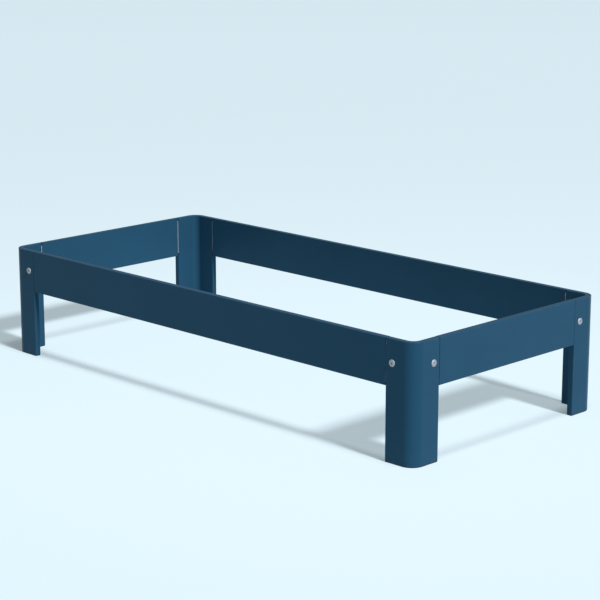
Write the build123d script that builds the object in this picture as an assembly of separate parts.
from build123d import *
import os

# Raised planting frame on four corner legs, in millimetres.
# +X runs along the length, +Y to the back, +Z up. The origin is on the floor,
# under the middle of the frame.

# Overall sizes
LENGTH = 1200.0
WIDTH = 550.0
HEIGHT = 240.0

# Hollow folded sections shared by the legs and the panels
WALL_DEPTH = 12.0
SHEET = 1.5
BEND = 1.2
CUT_EDGE = 0.4
FIT = 0.1

# Corner legs
CORNER_RADIUS = 27.0
WING = 70.0
GLIDE_HEIGHT = 2.0
PLUG_HEIGHT = 10.0
GLIDE_INSET = 0.4

# Side panels
PANEL_HEIGHT = 92.0
SEAM = 1.0

# Flat bars that join the panels to the legs
BAR_HEIGHT = 80.0
BAR_IN_LEG = 30.0
BAR_IN_PANEL = 60.0

# M8 screws with a low button head
SCREW_FROM_CORNER = 54.0
SCREW_RADIUS = 4.0
SCREW_LENGTH = 10.0
THREAD_FIT = 0.05
CLEARANCE_RADIUS = 4.5
HEAD_RADIUS = 7.0
HEAD_HEIGHT = 2.2
HEAD_RIM = 0.8
HEAD_SHOULDER_RADIUS = 6.2
HEAD_SHOULDER_HEIGHT = 1.7
HEAD_FLAT_RADIUS = 4.0
SOCKET_ACROSS_FLATS = 4.0
SOCKET_DEPTH = 1.6

# Heights and lengths that follow from the sizes above
PANEL_BOTTOM = HEIGHT - PANEL_HEIGHT
SCREW_Z = HEIGHT - PANEL_HEIGHT / 2
CAP_BOTTOM = HEIGHT - SHEET
RETURN_TOP = PANEL_BOTTOM + SHEET
LONG_PANEL = LENGTH - 2 * (WING + SEAM)
SHORT_PANEL = WIDTH - 2 * (WING + SEAM)
BAR_THICKNESS = WALL_DEPTH - 2 * (SHEET + FIT)

# Each leg is drawn with its outer corner at the origin and its wings along +X and
# +Y, then turned by this angle and moved to its corner of the frame.
LEGS = {
    "front_left": (0, -LENGTH / 2, -WIDTH / 2),
    "front_right": (90, LENGTH / 2, -WIDTH / 2),
    "back_right": (180, LENGTH / 2, WIDTH / 2),
    "back_left": (270, -LENGTH / 2, WIDTH / 2),
}

# Each panel is drawn along X with its outer face on y = 0 and its inside towards +Y,
# then turned and moved to its side. The last two words name its ends at -X and +X.
PANELS = {
    "front": (0, 0, -WIDTH / 2, LONG_PANEL, "left", "right"),
    "right": (90, LENGTH / 2, 0, SHORT_PANEL, "front", "back"),
    "back": (180, 0, WIDTH / 2, LONG_PANEL, "right", "left"),
    "left": (270, -LENGTH / 2, 0, SHORT_PANEL, "back", "front"),
}


def block(x, y, z):
    """Box between two limits on each axis."""
    size = [high - low for low, high in (x, y, z)]
    centre = [(high + low) / 2 for low, high in (x, y, z)]
    return Pos(*centre) * Box(*size)


def corner_strip(outer, inner, end, bottom, top):
    """L-shaped strip round the corner, between two depths below the outer faces."""
    r = CORNER_RADIUS
    bulge = r * (1 - 0.5**0.5)
    outline = Wire([
        Line((end, outer), (r, outer)),
        ThreePointArc((r, outer), (bulge + outer * 0.5**0.5,) * 2, (outer, r)),
        Line((outer, r), (outer, end)),
        Line((outer, end), (inner, end)),
        Line((inner, end), (inner, r)),
        ThreePointArc((inner, r), (bulge + inner * 0.5**0.5,) * 2, (r, inner)),
        Line((r, inner), (end, inner)),
        Line((end, inner), (end, outer)),
    ])
    return Pos(0, 0, bottom) * extrude(make_face(outline), top - bottom)


def screw_hole(radius, x):
    """Cutter along Y for a screw through a wall whose outer face is on y = 0."""
    return Pos(x, 0, SCREW_Z) * Rot(90, 0, 0) * Cylinder(radius, 4 * WALL_DEPTH)


def swap_wings(shape):
    """The same shape on the leg's other wing, mirrored about the corner's diagonal."""
    return mirror(shape, about=Plane(origin=(0, 0, 0), z_dir=(1, -1, 0)))


def leg_outer_skin():
    """Outer sheet of a leg, folded in at the wing ends as far up as the panels."""
    skin = corner_strip(0, SHEET, WING, GLIDE_HEIGHT, CAP_BOTTOM)
    end_return = block((WING - SHEET, WING), (0, WALL_DEPTH), (GLIDE_HEIGHT, RETURN_TOP))
    hole = screw_hole(CLEARANCE_RADIUS, SCREW_FROM_CORNER)
    skin += [end_return, swap_wings(end_return)]
    skin -= [hole, swap_wings(hole)]
    upright = skin.edges().filter_by(Axis.Z)
    folds = [e for e in upright if min(e.center().X, e.center().Y) < 0.01
             and max(e.center().X, e.center().Y) > WING - 0.01]
    return fillet(folds, BEND)


def leg_inner_skin():
    """Inner sheet of a leg, flush between the two end returns."""
    return corner_strip(
        WALL_DEPTH - SHEET, WALL_DEPTH, WING - SHEET - FIT, GLIDE_HEIGHT, CAP_BOTTOM)


def leg_top_cap():
    """Plate welded over the top of a leg, with its upper edges rounded."""
    cap = corner_strip(0, WALL_DEPTH, WING, CAP_BOTTOM, HEIGHT)
    return fillet(cap.faces().sort_by(Axis.Z)[-1].edges(), BEND)


def leg_glide():
    """Plastic glide under a leg: a sole with a plug that goes up between the skins."""
    sole = corner_strip(
        GLIDE_INSET, WALL_DEPTH - GLIDE_INSET, WING - GLIDE_INSET, 0, GLIDE_HEIGHT)
    plug = corner_strip(
        SHEET + FIT, WALL_DEPTH - SHEET - FIT, WING - SHEET - FIT,
        GLIDE_HEIGHT, GLIDE_HEIGHT + PLUG_HEIGHT)
    return sole + plug


def panel_outer_skin(length):
    """Outer sheet of a panel, folded in along its top and bottom edges."""
    across = (-length / 2, length / 2)
    web = block(across, (0, SHEET), (PANEL_BOTTOM, HEIGHT))
    top = block(across, (0, WALL_DEPTH), (HEIGHT - SHEET, HEIGHT))
    bottom = block(across, (0, WALL_DEPTH), (PANEL_BOTTOM, PANEL_BOTTOM + SHEET))
    skin = web + top + bottom
    long_edges = skin.edges().filter_by(Axis.X)
    folds = [e for e in long_edges if e.center().Y < 0.01]
    skin = fillet(folds, BEND)
    rims = [e for e in skin.edges().filter_by(Axis.X) if e.center().Y > WALL_DEPTH - 0.01]
    return fillet(rims, CUT_EDGE)


def panel_inner_skin(length):
    """Flat inner sheet of a panel, between the two folded edges."""
    return block(
        (-length / 2, length / 2), (WALL_DEPTH - SHEET, WALL_DEPTH),
        (PANEL_BOTTOM + SHEET + FIT, HEIGHT - SHEET - FIT))


def joining_bar(length, end):
    """Flat bar at one end of a panel, reaching into the leg, with its tapped hole."""
    seam = end * length / 2
    inner, outer = seam - end * BAR_IN_PANEL, seam + end * (SEAM + BAR_IN_LEG)
    bar = block(
        (min(inner, outer), max(inner, outer)),
        (SHEET + FIT, SHEET + FIT + BAR_THICKNESS),
        (SCREW_Z - BAR_HEIGHT / 2, SCREW_Z + BAR_HEIGHT / 2))
    return bar - screw_hole(SCREW_RADIUS + THREAD_FIT, screw_x(length, end))


def screw_x(length, end):
    """Place of the screw along a panel's own X axis, in the leg beside it."""
    return end * (length / 2 + SEAM + WING - SCREW_FROM_CORNER)


def button_head_screw():
    """Screw along Z with the underside of its domed head on z = 0."""
    profile = Wire([
        Line((0, 0), (HEAD_RADIUS, 0)),
        Line((HEAD_RADIUS, 0), (HEAD_RADIUS, HEAD_RIM)),
        ThreePointArc(
            (HEAD_RADIUS, HEAD_RIM), (HEAD_SHOULDER_RADIUS, HEAD_SHOULDER_HEIGHT),
            (HEAD_FLAT_RADIUS, HEAD_HEIGHT)),
        Line((HEAD_FLAT_RADIUS, HEAD_HEIGHT), (0, HEAD_HEIGHT)),
        Line((0, HEAD_HEIGHT), (0, 0)),
    ])
    head = revolve(Plane.XZ * make_face(profile), Axis.Z)
    shank = Pos(0, 0, -SCREW_LENGTH / 2) * Cylinder(SCREW_RADIUS, SCREW_LENGTH)
    hexagon = RegularPolygon(SOCKET_ACROSS_FLATS / 2, 6, major_radius=False)
    socket = Pos(0, 0, HEAD_HEIGHT - SOCKET_DEPTH) * extrude(hexagon, SOCKET_DEPTH)
    return head + shank - socket


def save(shape, node):
    """Write one node, named by its file."""
    shape.label = node
    export_step(shape, f"parts/{node}.step")


def build_legs():
    """Write the four pieces of each of the four legs."""
    pieces = {
        "outer_skin": leg_outer_skin(),
        "inner_skin": leg_inner_skin(),
        "top_cap": leg_top_cap(),
        "glide": leg_glide(),
    }
    for corner, (turn, x, y) in LEGS.items():
        for piece, shape in pieces.items():
            save(Pos(x, y, 0) * Rot(0, 0, turn) * shape, f"{corner}_leg_{piece}")


def build_panels():
    """Write the skins and joining bars of each panel, and all the screws as one node."""
    screws = []
    for side, (turn, x, y, length, *ends) in PANELS.items():
        place = Pos(x, y, 0) * Rot(0, 0, turn)
        save(place * panel_outer_skin(length), f"{side}_panel_outer_skin")
        save(place * panel_inner_skin(length), f"{side}_panel_inner_skin")
        for end, word in zip((-1, 1), ends):
            save(place * joining_bar(length, end), f"{side}_panel_{word}_joining_bar")
            seat = Pos(screw_x(length, end), 0, SCREW_Z) * Rot(90, 0, 0)
            screws.append(place * seat * button_head_screw())
    save(Compound(children=screws), "button_head_screws")


os.makedirs("parts", exist_ok=True)
build_legs()
build_panels()
